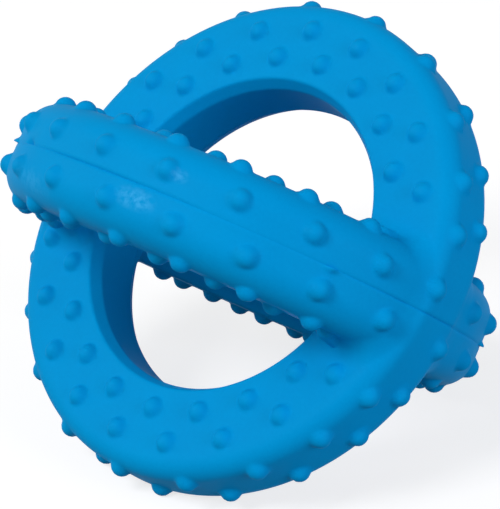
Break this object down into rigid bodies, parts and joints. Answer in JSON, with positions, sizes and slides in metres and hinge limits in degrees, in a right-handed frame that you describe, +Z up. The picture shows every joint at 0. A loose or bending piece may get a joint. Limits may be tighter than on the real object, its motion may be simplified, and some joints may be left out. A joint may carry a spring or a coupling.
{
  "type": "rubber chew toy",
  "caption": "Rubber chew toy of crossed rings with rows of nubs, moulded as halves bonded round the middle of one ring, for a dog to gnaw, toss and tug.",
  "frame": {"origin": "on the surface that the toy lies on, under the middle of its bounding box and the rings' shared centre", "axes": "+X along the line on which the rings cross, +Z up, +Y towards the back, where the upper half's arch leans"},
  "size_m": [0.1112, 0.09, 0.0832],
  "materials": {
    "blue_rubber": "satin moulded rubber, bright azure blue"
  },
  "bodies": {
    "root": {"upper_half": "blue_rubber", "lower_half": "blue_rubber"}
  },
  "joints": []
}
